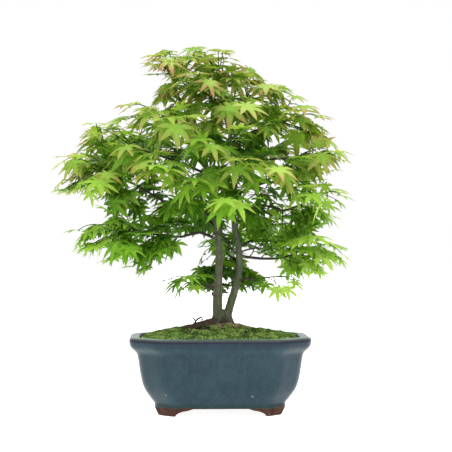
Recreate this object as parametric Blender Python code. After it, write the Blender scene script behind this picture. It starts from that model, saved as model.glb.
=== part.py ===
"""Japanese maple bonsai with two stems, in a glazed pot with canted corners and bracket feet.

Metres, +Z up. The origin is on the ground under the middle of the whole tree's bounding box, +X
runs along the pot and the front of the tree faces -Y. Sizes below are in millimetres, measured
from the middle of the pot's foot, and become metres in keep().
"""
import math
import random

import bmesh
import bpy
from mathutils import Matrix, Vector
from mathutils.bvhtree import BVHTree

MM = 0.001
GAP = 0.3                 # between pieces that touch
POT_OFFSET = (19.5, 5.1)  # the crown leans left, so the pot stands right of the origin

# The pot
POT_LENGTH = 197.2
POT_DEPTH = 147.2
CORNER_ROUND = 7.0        # softening at each end of a canted corner
FLOOR_UNDER = 8.5         # height of the feet
FLOOR_TOP = 15.5
FOOT_BAND = 11.0          # from the outer side of a foot to its inner side
RECESS_CANT = 18.0        # canted corner of the hollow between the feet
HOLE_RADIUS = 11.0
HOLE_SPACING = 80.0

# Half length, height and canted corner of the pot's outer side, from the table to the rim
OUTER_SIDE = (
    (67.1, 0.0, 16.0), (71.0, 8.5, 18.0), (71.4, 12.6, 19.0), (73.6, 15.4, 21.0),
    (76.8, 19.6, 23.0), (81.6, 26.8, 25.5), (84.6, 34.0, 27.0), (86.4, 42.0, 27.5),
    (88.0, 52.0, 28.0), (89.2, 61.0, 28.0), (91.0, 67.5, 29.0), (95.8, 72.5, 31.5),
    (98.0, 76.0, 32.5), (98.6, 80.7, 33.0), (97.8, 83.4, 33.0), (95.6, 84.5, 32.0),
)
# The same for the inner side, from the rim to the floor
INNER_SIDE = (
    (89.2, 84.5, 28.5), (87.8, 83.2, 28.0), (85.6, 74.0, 26.5), (83.0, 60.0, 24.5),
    (81.2, 45.0, 23.5), (78.0, 33.0, 22.0), (71.1, 23.5, 20.0), (63.1, 17.5, 18.0),
    (56.6, 15.5, 16.0),
)
# Half width and height of the arch between two feet
LONG_ARCH = ((49.0, -2.0), (49.0, 0.0), (46.8, 3.0), (41.5, 5.4), (35.5, 6.6), (30.0, 8.5))
SHORT_ARCH = ((21.5, -2.0), (21.5, 0.0), (20.0, 3.0), (17.0, 5.4), (13.5, 6.6), (10.0, 8.5))

# Drainage
SCREEN_SIDE = 30.0
SCREEN_CELLS = 7          # odd, so bars stand at both edges
SCREEN_THICK = 1.2
WIRE_RADIUS = 0.75
WIRE_BEND = 1.4
WIRE_FOOT = 9.0           # length of each bent-out end under the floor
GRAVEL_TOP = 26.0

# Soil and moss: how much of the pot's inner outline a contour keeps, and its height
SOIL_DOME = ((1.0, 77.0), (0.9, 78.7), (0.74, 81.4), (0.55, 84.6), (0.35, 87.6), (0.15, 90.4))
MOSS_DOME = ((1.0, 81.2), (0.96, 82.4), (0.9, 83.8), (0.74, 86.6), (0.55, 89.8), (0.35, 93.0),
             (0.15, 95.8))
DOME_SHIFT = -9.0         # the mound is highest left of the middle

# The root base: centre x, centre y, half width, half depth, height, depth of its five lobes
ROOT_BASE = (
    (5.0, 1.0, 11.0, 9.0, 66.0, 0.0), (5.0, 1.0, 19.0, 16.0, 76.0, 0.30),
    (4.5, 1.0, 23.0, 20.0, 84.0, 0.34), (4.0, 1.0, 20.0, 16.0, 91.0, 0.24),
    (2.8, 1.0, 14.0, 11.0, 96.5, 0.12), (2.8, 1.0, 11.6, 8.4, 101.5, 0.06),
    (3.2, 1.0, 10.4, 6.2, 107.0, 0.0), (4.0, 1.0, 7.6, 4.6, 112.5, 0.0),
)
ROOT_LOBES = 5
ROOT_GAP = 0.5            # its lobed sides stand this far from soil and moss

# Each stem or branch: its route, and the radius at the start and at the end
STEMS = {
    "left": (5.3, 1.1, (
        (-2.0, 0, 97), (-2.3, -1, 106), (-2.1, -3, 129), (-0.9, -4, 151), (-0.4, -3, 175),
        (-2.7, 0, 209), (-8, 3, 238), (-15, 3, 272), (-25, 0, 310), (-33, -3, 332),
        (-45, -4, 346), (-50, -3, 362))),
    "right": (5.0, 1.1, (
        (7.6, 2, 97), (9.0, 2, 106), (14.0, 3, 124), (19.6, 4, 142), (22.4, 5, 158),
        (22.2, 5, 172), (20.0, 4, 188), (17.2, 3, 206), (15.8, 4, 225), (18, 7, 258),
        (14, 8, 298), (8, 5, 330), (0, 2, 357))),
}
# Branches carry leafy shoots at their ends: shoot count, start radius, route
BRANCHES = {
    "low_left": (1, 1.2, ((-2, -3, 131), (-11, -10, 138), (-18, -18, 141))),
    "low_back": (1, 1.2, ((20, 4, 160), (18, 18, 168), (12, 28, 172))),
    "left_low": (3, 1.8, ((-1, -2, 189), (-22, 2, 198), (-42, -2, 193), (-72, -6, 196),
                          (-98, -8, 202))),
    "left_low_back": (2, 1.5, ((-2, 0, 201), (-12, 20, 212), (-24, 36, 220), (-34, 44, 224))),
    "left_mid": (3, 1.8, ((-3, 1, 213), (-30, -6, 224), (-58, -12, 230), (-88, -10, 248),
                          (-122, -8, 265))),
    "left_mid_front": (2, 1.5, ((-6, 2, 228), (-25, -24, 238), (-46, -44, 254),
                                (-62, -54, 266))),
    "left_high": (3, 1.6, ((-13, 3, 262), (-45, 8, 276), (-74, 13, 286), (-94, 14, 292))),
    "left_back": (1, 1.4, ((-16, 3, 275), (-30, 28, 286), (-50, 48, 294), (-66, 58, 296))),
    "left_up_front": (2, 1.4, ((-22, 1, 300), (-36, -20, 312), (-52, -38, 320))),
    "front_mid": (2, 1.5, ((-10, 3, 246), (-9, -28, 264), (-6, -58, 276))),
    "front_low": (2, 1.5, ((18, 3, 205), (8, -20, 222), (2, -46, 234), (-4, -62, 238))),
    "low_right": (1, 1.2, ((20, 4, 143), (30, -8, 147), (39, -17, 147))),
    "right_low": (3, 1.7, ((22, 5, 172), (46, -2, 169), (70, -6, 170), (88, -8, 177))),
    "right_low_back": (2, 1.4, ((21, 4, 180), (38, 18, 190), (52, 34, 200), (58, 46, 206))),
    "right_low_mid": (2, 1.6, ((17, 4, 210), (43, 0, 229), (70, -5, 222), (88, -4, 228))),
    "right_front": (2, 1.5, ((16, 5, 238), (34, -22, 246), (50, -44, 252))),
    "right_back": (2, 1.5, ((17, 6, 252), (34, 30, 270), (48, 46, 282))),
    "right_mid": (2, 1.6, ((17, 7, 268), (48, 6, 278), (72, 4, 280), (84, 4, 281))),
    "right_high": (2, 1.5, ((14, 8, 299), (38, -2, 310), (56, -8, 316), (68, -10, 319))),
    "right_up_back": (1, 1.3, ((12, 7, 306), (26, 26, 316), (38, 40, 322))),
    "front_up": (3, 1.4, ((9, 6, 316), (2, -12, 332), (-8, -28, 346))),
    "back_mid": (1, 1.4, ((16, 8, 286), (8, 34, 300), (-2, 54, 306))),
    "upper_right": (2, 1.3, ((8, 5, 330), (20, -2, 341), (31, -4, 346))),
}
CROWN_TIPS = {"leader": ("left", 2), "apex": ("right", 3)}  # shoots at a stem's own end
BRANCH_END_RADIUS = 1.0
TAPER_POWER = 0.8         # under 1, so a branch thins less near its fork than near its tip

# Leafy shoots
SHOOT_LENGTH = (30.0, 40.0)
SHOOT_RADIUS = 0.9
NODE_LENGTH = 1.7         # of shoot that carries one pair of leaves
SHOOT_SPREAD = 58.0       # degrees between a side shoot and its branch
SIDE_BACK = 7.0           # from a branch's tip back to its two side shoots
SHOOT_RISE = 0.42         # slope of the side shoots: one climbs and the other sinks
PAIR_PLACES = (0.42, 0.72, 1.0)  # where the leaf pairs stand along a shoot
PETIOLE_LENGTH = (11.0, 19.0)
PETIOLE_SAG = 0.12               # drop of its end as a share of its length
LEAF_LENGTH = (25.0, 32.0)       # from the petiole to the middle tip
LEAF_DROOP = (32.0, 78.0)        # degrees that a blade hangs below its petiole
HUB_HALF = 0.6                   # half the blade's thickness where the petiole joins
TIP_CURL = 0.18                  # drop of a lobe's tip as a share of the leaf's length
# Bearing from the middle lobe in degrees, and reach as a share of the leaf's length
LEAF_OUTLINE = (
    (104, 0.50), (78, 0.30), (54, 0.86), (27, 0.36), (0, 1.0), (-27, 0.36), (-54, 0.86),
    (-78, 0.30), (-104, 0.50),
)
YOUNG_ABOVE = 285.0              # height over which the growth is this spring's
TRIES = 24
SEED = 3

# Fallen twig lying on the moss at the left of the stems
TWIG_RADIUS = 0.8
TWIG_BEARINGS = (200, 150, 100, 60, 15, -25)  # round its curl, in degrees
TWIG_CURL = (6.5, 5.0)
TWIG_CENTRE = (-22.0, -22.0)


# ------------------------------------------------------------------------------ helpers
def clear_scene():
    for old in list(bpy.data.objects):
        bpy.data.objects.remove(old, do_unlink=True)


def material(name, colour, roughness, metallic=0.0):
    made = bpy.data.materials.new(name)
    made.use_nodes = True
    shader = made.node_tree.nodes["Principled BSDF"]
    shader.inputs["Base Color"].default_value = (*colour, 1.0)
    shader.inputs["Roughness"].default_value = roughness
    shader.inputs["Metallic"].default_value = metallic
    return made


def keep(name, bm, finish=None, parent=None, smooth=35.0):
    """Make an object in metres from a shape in millimetres."""
    mesh = bpy.data.meshes.new(name)
    bmesh.ops.recalc_face_normals(bm, faces=bm.faces)
    bm.to_mesh(mesh)
    bm.free()
    mesh.transform(Matrix.Scale(MM, 4))
    if smooth:
        mesh.shade_smooth()
        mesh.set_sharp_from_angle(angle=math.radians(smooth))
    if finish:
        mesh.materials.append(finish)
    made = bpy.data.objects.new(name, mesh)
    bpy.context.scene.collection.objects.link(made)
    made.parent = parent
    return made


def cutter(name, bm, parent):
    made = keep(name, bm, parent=parent, smooth=None)
    made.hide_render = True
    made.display_type = "WIRE"
    return made


def cut(target, *tools):
    for tool in tools:
        step = target.modifiers.new(tool.name, "BOOLEAN")
        step.operation = "DIFFERENCE"
        step.object = tool


def box(low, high):
    bm = bmesh.new()
    bmesh.ops.create_cube(bm, size=1.0)
    size = [high[i] - low[i] for i in range(3)]
    middle = [(high[i] + low[i]) / 2 for i in range(3)]
    bmesh.ops.scale(bm, vec=size, verts=bm.verts)
    bmesh.ops.translate(bm, vec=middle, verts=bm.verts)
    return bm


def loft(rings):
    """A closed skin through rings that each have the same number of points."""
    bm = bmesh.new()
    loops = [[bm.verts.new(point) for point in ring] for ring in rings]
    for lower, upper in zip(loops, loops[1:]):
        for i in range(len(lower)):
            bm.faces.new((lower[i - 1], lower[i], upper[i], upper[i - 1]))
    bm.faces.new(loops[0])
    bm.faces.new(loops[-1])
    return bm


def smooth_route(points, steps):
    """Points on a Catmull-Rom curve through the route's own points."""
    route = [Vector(p) for p in points]
    route = [2 * route[0] - route[1]] + route + [2 * route[-1] - route[-2]]
    found = []
    for a, b, c, d in zip(route, route[1:], route[2:], route[3:]):
        for step in range(steps):
            t = step / steps
            found.append(0.5 * ((2 * b) + (c - a) * t + (2 * a - 5 * b + 4 * c - d) * t ** 2
                                + (3 * b - 3 * c + d - a) * t ** 3))
    return found + [route[-2]]


def tube(name, points, radii, resolution):
    """A mesh swept along points with a radius at each, and closed ends."""
    curve = bpy.data.curves.new(name, "CURVE")
    curve.dimensions = "3D"
    curve.bevel_depth = 1.0
    curve.bevel_resolution = resolution
    curve.use_fill_caps = True
    spline = curve.splines.new("POLY")
    spline.points.add(len(points) - 1)
    for place, point, radius in zip(spline.points, points, radii):
        place.co = (*point, 1.0)
        place.radius = radius
    holder = bpy.data.objects.new(name, curve)
    mesh = bpy.data.meshes.new_from_object(holder)
    bpy.data.objects.remove(holder)
    bm = bmesh.new()
    bm.from_mesh(mesh)
    bpy.data.meshes.remove(mesh)
    bmesh.ops.remove_doubles(bm, verts=bm.verts, dist=0.001)
    return bm


def taper(start, end, count):
    """Radii that fall from start to end."""
    return [end + (start - end) * (1 - i / (count - 1)) ** TAPER_POWER for i in range(count)]


# -------------------------------------------------------------------------- pot outlines
def softened(before, corner, after):
    middle = before * 0.25 + corner * 0.5 + after * 0.25
    return [before, middle, after]


def canted_outline(half_x, cant):
    """Points round a rectangle with canted and softly rounded corners."""
    half_y = half_x - (POT_LENGTH - POT_DEPTH) / 2
    low = Vector((half_x, half_y - cant))
    high = Vector((half_x - cant, half_y))
    run = min(CORNER_ROUND, cant * 0.45, (half_y - cant) * 0.9)
    slant = (high - low).normalized() * run
    quarter = softened(low - Vector((0, run)), low, low + slant)
    quarter += softened(high - slant, high, high - Vector((run, 0)))
    points = []
    for side_x, side_y in ((1, 1), (-1, 1), (-1, -1), (1, -1)):
        part = [Vector((p.x * side_x, p.y * side_y)) for p in quarter]
        points += part if side_x == side_y else part[::-1]
    return points


def level(outline, height, share=1.0, shift=0.0):
    return [(p.x * share + shift, p.y * share, height) for p in outline]


def inner_outline(height, clearance):
    """The pot's inner outline at a height, kept clear of the wall."""
    rows = sorted(INNER_SIDE, key=lambda row: row[1])
    for (half_a, low, cant_a), (half_b, high, cant_b) in zip(rows, rows[1:]):
        if low <= height <= high:
            share = (height - low) / (high - low)
            half = half_a + (half_b - half_a) * share
            return canted_outline(half - clearance, cant_a + (cant_b - cant_a) * share)
    raise ValueError("no inner wall at this height")


def wall_rings(low, high, clearance):
    heights = [low] + sorted(row[1] for row in INNER_SIDE if low < row[1] < high) + [high]
    return [level(inner_outline(z, clearance), z) for z in heights]


# ------------------------------------------------------------------------------ the pot
def make_pot(parent):
    rings = [level(canted_outline(half, cant), z) for half, z, cant in OUTER_SIDE]
    rings += [level(canted_outline(half, cant), z) for half, z, cant in INNER_SIDE]
    glaze = material("blue_grey_glaze", (0.052, 0.088, 0.107), 0.22)
    pot = keep("pot", loft(rings), glaze, parent)
    recess_half = OUTER_SIDE[1][0] - FOOT_BAND
    recess = [level(canted_outline(recess_half, RECESS_CANT), z) for z in (-2.0, FLOOR_UNDER)]
    cut(pot, cutter("under_floor_cutter", loft(recess), parent),
        cutter("long_arch_cutter", arch(LONG_ARCH, POT_LENGTH, 0.0), parent),
        cutter("short_arch_cutter", arch(SHORT_ARCH, POT_LENGTH, math.pi / 2), parent))
    for side, x in drain_places():
        bm = bmesh.new()
        bmesh.ops.create_cone(bm, cap_ends=True, segments=24, radius1=HOLE_RADIUS,
                              radius2=HOLE_RADIUS, depth=20.0)
        bmesh.ops.translate(bm, vec=(x, 0, (FLOOR_UNDER + FLOOR_TOP) / 2), verts=bm.verts)
        cut(pot, cutter(f"drain_{side}_cutter", bm, parent))
    return pot


def drain_places():
    return (("left", -HOLE_SPACING / 2), ("right", HOLE_SPACING / 2))


def arch(profile, depth, turn):
    """The opening between two feet, run right through from front to back."""
    bm = bmesh.new()
    outline = [(x, z) for x, z in profile] + [(-x, z) for x, z in reversed(profile)]
    face = bm.faces.new([bm.verts.new((x, -depth / 2, z)) for x, z in outline])
    swept = bmesh.ops.extrude_face_region(bm, geom=[face])["geom"]
    moved = [item for item in swept if isinstance(item, bmesh.types.BMVert)]
    bmesh.ops.translate(bm, vec=(0, depth, 0), verts=moved)
    bmesh.ops.rotate(bm, matrix=Matrix.Rotation(turn, 3, "Z"), verts=bm.verts)
    return bm


# ----------------------------------------------------------------------------- drainage
def make_screen(side, x, parent, finish):
    """A square plastic screen with a bar at each edge, over one drain hole."""
    bm = bmesh.new()
    bmesh.ops.create_grid(bm, x_segments=SCREEN_CELLS, y_segments=SCREEN_CELLS,
                          size=SCREEN_SIDE / 2)
    cell = SCREEN_SIDE / SCREEN_CELLS
    holes = []
    for face in bm.faces:
        middle = face.calc_center_median()
        column = int((middle.x + SCREEN_SIDE / 2) // cell)
        row = int((middle.y + SCREEN_SIDE / 2) // cell)
        if column % 2 and row % 2:
            holes.append(face)
    bmesh.ops.delete(bm, geom=holes, context="FACES")
    swept = bmesh.ops.extrude_face_region(bm, geom=bm.faces[:])["geom"]
    moved = [item for item in swept if isinstance(item, bmesh.types.BMVert)]
    bmesh.ops.translate(bm, vec=(0, 0, SCREEN_THICK), verts=moved)
    bmesh.ops.translate(bm, vec=(x, 0, FLOOR_TOP + GAP), verts=bm.verts)
    return keep(f"drain_mesh_{side}", bm, finish, parent, smooth=None)


def screen_top():
    return FLOOR_TOP + GAP + SCREEN_THICK


def make_clip(side, x, parent, finish):
    """Wire over the screen, down through it and the drain hole, and out under the floor."""
    leg = SCREEN_SIDE / SCREEN_CELLS * 2
    high = screen_top() + GAP + WIRE_RADIUS
    low = FLOOR_UNDER - GAP - WIRE_RADIUS
    bend = WIRE_BEND
    half = [(bend, high), (leg - bend, high), (leg - bend * 0.3, high - bend * 0.3),
            (leg, high - bend), (leg, low + bend), (leg + bend * 0.3, low + bend * 0.3),
            (leg + bend, low), (leg + WIRE_FOOT, low)]
    route = [(x - along, 0, z) for along, z in reversed(half)]
    route += [(x + along, 0, z) for along, z in half]
    return keep(f"mesh_clip_{side}", tube("clip", route, [WIRE_RADIUS] * len(route), 2),
                finish, parent)


def make_gravel(parent):
    finish = material("fired_gravel", (0.30, 0.20, 0.13), 0.95)
    gravel = keep("drainage_gravel", loft(wall_rings(FLOOR_TOP + GAP, GRAVEL_TOP, GAP * 1.5)),
                  finish, parent)
    half = SCREEN_SIDE / 2 + GAP
    top = screen_top() + 2 * (GAP + WIRE_RADIUS)
    for side, x in drain_places():
        hollow = box((x - half, -half, 0), (x + half, half, top))
        cut(gravel, cutter(f"gravel_{side}_cutter", hollow, parent))
    return gravel


# -------------------------------------------------------------------------- soil and moss
def dome_rings(dome, clearance):
    rings = []
    for share, z in dome:
        outline = inner_outline(min(z, dome[0][1]), clearance)
        rings.append(level(outline, z, share, DOME_SHIFT * (1 - share)))
    return rings


def make_soil(parent):
    finish = material("bonsai_soil", (0.075, 0.05, 0.032), 0.97)
    low = GRAVEL_TOP + GAP
    side = wall_rings(low, SOIL_DOME[0][1], GAP * 1.5)
    soil = keep("soil", loft(side + dome_rings(SOIL_DOME[1:], GAP * 1.5)), finish, parent)
    cut(soil, cutter("soil_root_cutter", root_base(ROOT_GAP), parent))
    return soil


def make_moss(parent):
    finish = material("moss", (0.105, 0.165, 0.045), 0.95)
    under = [(share, z + GAP) for share, z in SOIL_DOME]
    rings = dome_rings(under, GAP * 1.5)[::-1] + dome_rings(MOSS_DOME, GAP * 1.5)
    moss = keep("moss", loft(rings), finish, parent)
    cut(moss, cutter("moss_root_cutter", root_base(ROOT_GAP), parent))
    return moss


def moss_height(x, y):
    """Height of the moss above a point, from its contours."""
    share_at = 1.0
    for (share, z), (next_share, next_z) in zip(MOSS_DOME, MOSS_DOME[1:]):
        here = contour_share(x - DOME_SHIFT * (1 - share), y)
        there = contour_share(x - DOME_SHIFT * (1 - next_share), y)
        share_at = here
        if next_share <= there <= 1 and here <= share:
            part = (share - here) / (share - next_share)
            if 0 <= part <= 1:
                return z + (next_z - z) * part
    return MOSS_DOME[-1][1] if share_at < 0.5 else MOSS_DOME[0][1]


def contour_share(x, y):
    """Where a point lies between the middle, 0, and the pot's inner side, 1."""
    half_x = INNER_SIDE[2][0]
    half_y = half_x - (POT_LENGTH - POT_DEPTH) / 2
    corner = (abs(x) + abs(y)) / (half_x + half_y - INNER_SIDE[2][2])
    return max(abs(x) / half_x, abs(y) / half_y, corner)


def make_twig(parent):
    """A dead twig that curled as it dried, lying on the moss."""
    finish = material("dead_twig", (0.14, 0.095, 0.06), 0.9)
    points = []
    for bearing in TWIG_BEARINGS:
        angle = math.radians(bearing)
        x = TWIG_CENTRE[0] + TWIG_CURL[0] * math.cos(angle)
        y = TWIG_CENTRE[1] + TWIG_CURL[1] * math.sin(angle)
        points.append(Vector((x, y, moss_height(x, y) + TWIG_RADIUS + GAP * 2)))
    points = smooth_route(points, 2)
    return keep("fallen_twig", tube("twig", points, [TWIG_RADIUS] * len(points), 1), finish,
                parent)


# ------------------------------------------------------------------------------- the wood
def root_base(grown=0.0):
    """The flared foot of the tree, with lobes where the main roots leave it."""
    rings = []
    sides = 20
    for centre_x, centre_y, half_x, half_y, z, lobe in ROOT_BASE:
        ring = []
        for i in range(sides):
            angle = 2 * math.pi * i / sides
            swell = 1 + lobe * math.cos(ROOT_LOBES * angle + 0.6)
            ring.append((centre_x + (half_x * swell + grown) * math.cos(angle),
                         centre_y + (half_y * swell + grown) * math.sin(angle), z))
        rings.append(ring)
    if grown:
        rings[0] = [(x, y, z - grown) for x, y, z in rings[0]]
    bm = loft(rings)
    bmesh.ops.triangulate(bm, faces=bm.faces, quad_method="FIXED")
    return bm


def wood_shapes():
    """Every stem and branch as its own closed tube, by name."""
    shapes = {}
    for name, (start, end, route) in STEMS.items():
        points = smooth_route(route, 2)
        shapes[name] = tube(name, points, taper(start, end, len(points)), 2)
    for name, (_, start, route) in BRANCHES.items():
        points = smooth_route(route, 2)
        shapes[name] = tube(name, points, taper(start, BRANCH_END_RADIUS, len(points)), 1)
    return shapes


def make_wood(shapes, parent):
    """Roots, stems and branches grown together as one piece."""
    bark = material("maple_bark", (0.115, 0.125, 0.075), 0.88)
    joined = bmesh.new()
    for name in [*STEMS, *BRANCHES]:
        part = bpy.data.meshes.new(name)
        shapes[name].to_mesh(part)
        joined.from_mesh(part)
        bpy.data.meshes.remove(part)
    limbs = cutter("limbs", joined, parent)
    wood = keep("tree_wood", root_base(), bark, parent)
    step = wood.modifiers.new("limbs", "BOOLEAN")
    step.operation = "UNION"
    step.object = limbs
    step.use_self = True
    return wood


# --------------------------------------------------------------------------- leafy shoots
def shoot_starts():
    """Name, start point and direction of each shoot: one goes on from the branch, the others
    leave in opposite directions just behind its end."""
    ends = {name: (count, route, BRANCH_END_RADIUS)
            for name, (count, _, route) in BRANCHES.items()}
    for name, (stem, count) in CROWN_TIPS.items():
        ends[name] = (count, STEMS[stem][2], STEMS[stem][1])
    starts = []
    for name, (count, route, radius) in ends.items():
        tip = Vector(route[-1])
        ahead = (tip - Vector(route[-2])).normalized()
        sideways = ahead.cross(Vector((0, 0, 1))).normalized()
        steep = ahead.z > 0.8
        turns = {1: (0,), 2: (0.45, -0.75), 3: (0, 1, -1)}[count]
        for number, turn in enumerate(turns, 1):
            angle = math.radians(SHOOT_SPREAD * turn)
            heading = ahead * math.cos(angle) + sideways * math.sin(angle)
            if count == 3 and turn:
                start = tip - ahead * SIDE_BACK + heading * (radius + GAP + SHOOT_RADIUS * 0.8)
            elif turn:
                push = 1.0 if turn > 0 else -1.0
                start = tip + ahead * (GAP + 0.2) + sideways * push * (SHOOT_RADIUS + GAP)
                start += heading * 0.6
            else:
                start = tip + ahead * GAP
            rise = 0.0 if steep else SHOOT_RISE * (turn if count > 1 else 0.4)
            heading = (heading + Vector((0, 0, rise))).normalized()
            starts.append((f"shoot_{name}_{number}", start, heading))
    return starts


def sides_of(heading):
    sideways = heading.cross(Vector((0, 0, 1)))
    if sideways.length < 0.2:
        sideways = heading.cross(Vector((0, 1, 0)))
    sideways.normalize()
    return sideways, sideways.cross(heading).normalized()


def leaf_points(root, heading, length, droop, reach):
    """Hub, leaf axes and outline of a blade at the end of a petiole."""
    flat, _ = sides_of(heading)
    hub = root + heading * reach
    hub.z -= PETIOLE_SAG * reach
    tilt = Matrix.Rotation(-math.radians(droop), 3, flat)
    out = tilt @ heading
    flat = out.cross(Vector((0, 0, 1)))
    flat.normalize()
    up = flat.cross(out).normalized()
    outline = []
    for bearing, share in LEAF_OUTLINE:
        angle = math.radians(bearing)
        away = length * share
        curl = TIP_CURL * share * share * length
        outline.append(hub + (out * math.cos(angle) + flat * math.sin(angle)) * away - up * curl)
    return hub, flat, up, outline


def hub_corners(hub, flat, up):
    """Top, left, lower and right corners of the petiole's end, in the middle of the blade."""
    return [hub + up * HUB_HALF, hub + flat * HUB_HALF, hub - up * HUB_HALF, hub - flat * HUB_HALF]


def matched_verts(face, flat, up):
    """A square face's corners in the order of hub_corners."""
    verts = list(face.verts)
    middle = face.calc_center_median()
    scores = [(v.co - middle).dot(up + flat) for v in verts]
    first = scores.index(max(scores))
    return [verts[(first + i) % 4] for i in range(4)]


def leaf_tree(face, hub, flat, up, outline):
    """The leaf's own triangles, all but the foot of its petiole, to test for touching."""
    ends = hub_corners(hub, flat, up)
    feet = [v.co.lerp(end, 0.06) for v, end in zip(matched_verts(face, flat, up), ends)]
    rim = [ends[1]] + outline + [ends[3]]
    points = feet + ends + rim
    faces = [(i, (i + 1) % 4, 4 + (i + 1) % 4, 4 + i) for i in range(4)]
    for i in range(8, len(points) - 1):
        faces += [(4, i, i + 1), (6, i + 1, i)]
    return BVHTree.FromPolygons(points, faces)


def grow_leaf(bm, face, hub, flat, up, outline):
    """Draw a petiole out of one face of the shoot and close its end with the blade."""
    end = bmesh.ops.extrude_discrete_faces(bm, faces=[face])["faces"][0]
    top, left, low, right = matched_verts(end, flat, up)
    for vert, place in zip((top, left, low, right), hub_corners(hub, flat, up)):
        vert.co = place
    bm.faces.remove(end)
    rim = [left] + [bm.verts.new(p) for p in outline] + [right]
    for a, b in zip(rim, rim[1:]):
        bm.faces.new((top, a, b))
        bm.faces.new((low, b, a))


def shoot_axis(start, heading, length, sag):
    """Centre points of the shoot's rings: one short ring pair at each pair of leaves."""
    places = [0.0]
    for share in PAIR_PLACES:
        places += [share - NODE_LENGTH / length, share]
    points = []
    for share in places:
        point = start + heading * (length * share)
        point.z -= sag * share * share
        points.append(point)
    return points


def shoot_stem(axis):
    """The shoot's square stem, and its faces by ring and side."""
    bm = bmesh.new()
    rings = []
    for i, point in enumerate(axis):
        ahead = (axis[min(i + 1, len(axis) - 1)] - axis[max(i - 1, 0)]).normalized()
        flat, up = sides_of(ahead)
        radius = SHOOT_RADIUS * (1 - 0.25 * i / len(axis))
        rings.append([bm.verts.new(point + flat * radius * a + up * radius * b)
                      for a, b in ((1, 1), (-1, 1), (-1, -1), (1, -1))])
    faces = {}
    for i, (lower, upper) in enumerate(zip(rings, rings[1:])):
        for side in range(4):
            j = (side + 1) % 4
            faces[i, side] = bm.faces.new((lower[side], upper[side], upper[j], lower[j]))
    bm.faces.new(rings[0])
    faces["tip"] = bm.faces.new(rings[-1][::-1])
    bmesh.ops.recalc_face_normals(bm, faces=bm.faces)
    return bm, faces


def free_stem(start, heading, blockers, rng):
    """A stem that meets no leaf or branch, turned aside a little where the first way is taken."""
    for attempt in range(TRIES):
        length = rng.uniform(*SHOOT_LENGTH)
        swerve = Vector([rng.uniform(-1, 1) for _ in range(3)]) * (0.03 * attempt)
        aim = (heading + swerve).normalized()
        axis = shoot_axis(start, aim, length, rng.uniform(2.0, 6.0))
        bm, faces = shoot_stem(axis)
        tree = BVHTree.FromBMesh(bm)
        if not any(tree.overlap(other) for other, _, _ in blockers):
            return bm, faces, tree, axis, aim
        bm.free()
    raise ValueError("no room for a shoot")


def leaf_spots(axis):
    """Where leaves stand: the tip, then both sides of each pair's ring, from the end back."""
    spots = [("tip", (axis[-1] - axis[-2]).normalized(), 0.0)]
    for pair in range(len(PAIR_PLACES) - 1, -1, -1):
        ring = 2 * pair + 1
        flat, _ = sides_of((axis[ring + 1] - axis[ring]).normalized())
        spots += [((ring, 3), flat, 1.0), ((ring, 1), -flat, -1.0)]
    return spots


def grow_leaves(bm, faces, axis, heading, own_tree, blockers, rng):
    """Opposite pairs of leaves and one leaf at the tip, each turned until it touches nothing."""
    leaves = []
    for spot, away, push in leaf_spots(axis):
        face = faces[spot]
        root = face.calc_center_median()
        size = rng.uniform(*LEAF_LENGTH)
        for attempt in range(TRIES):
            turn = math.radians(rng.uniform(25, 60) if push else 90)
            aim = heading * math.cos(turn) + away * math.sin(turn)
            aim.z += rng.uniform(-0.35, 0.45)
            aim.normalize()
            reach = rng.uniform(*PETIOLE_LENGTH)
            droop = rng.uniform(*LEAF_DROOP)
            grown = size * (1 - 0.012 * attempt)
            hub, flat, up, outline = leaf_points(root, aim, grown, droop, reach)
            tree = leaf_tree(face, hub, flat, up, outline)
            span = grown + reach + 6.0
            near = [other for other, place, far in blockers
                    if place is None or (place - hub).length < far + span]
            if any(tree.overlap(other) for other in near + leaves + [own_tree]):
                continue
            grow_leaf(bm, face, hub, flat, up, outline)
            leaves.append(tree)
            blockers.append((tree, hub.copy(), grown + reach))
            break
    return len(leaves)


def make_shoots(shapes, parent):
    """All the stems first, so that every leaf can keep clear of them."""
    mature = material("maple_leaf", (0.10, 0.26, 0.028), 0.5)
    young = material("young_maple_leaf", (0.24, 0.40, 0.05), 0.5)
    blockers = [(BVHTree.FromBMesh(bm), None, 0.0) for bm in shapes.values()]
    rng = random.Random(SEED)
    shoots = []
    for name, start, heading in shoot_starts():
        bm, faces, tree, axis, aim = free_stem(start, heading, blockers, rng)
        blockers.append((tree, start.lerp(axis[-1], 0.5), SHOOT_LENGTH[1] / 2 + 2.0))
        shoots.append((name, bm, faces, tree, axis, aim))
    total = 0
    for name, bm, faces, tree, axis, aim in shoots:
        others = [blocker for blocker in blockers if blocker[0] is not tree]
        known = len(others)
        count = grow_leaves(bm, faces, axis, aim, tree, others, rng)
        blockers += others[known:]
        finish = young if axis[0].z > YOUNG_ABOVE else mature
        keep(name, bm, finish, parent, smooth=None)
        total += count
        print(name, count, "leaves")
    print("leaves", total, "on", len(shoots), "shoots")


def main():
    clear_scene()
    whole = bpy.data.objects.new("bonsai", None)
    bpy.context.scene.collection.objects.link(whole)
    whole.location = (POT_OFFSET[0] * MM, POT_OFFSET[1] * MM, 0.0)
    make_pot(whole)
    plastic = material("screen_plastic", (0.03, 0.03, 0.03), 0.6)
    wire = material("clip_aluminium", (0.75, 0.75, 0.76), 0.35, 1.0)
    for side, x in drain_places():
        make_screen(side, x, whole, plastic)
        make_clip(side, x, whole, wire)
    make_gravel(whole)
    make_soil(whole)
    make_moss(whole)
    make_twig(whole)
    shapes = wood_shapes()
    make_wood(shapes, whole)
    make_shoots(shapes, whole)
    for bm in shapes.values():
        bm.free()


main()
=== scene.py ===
import random
from functools import partial
from itertools import product
from math import atan2, cos, exp, hypot, pi, radians, sin

import bmesh
import bpy
import numpy as np
from mathutils import Matrix, Vector, noise
from mathutils.bvhtree import BVHTree
from mathutils.kdtree import KDTree


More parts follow.
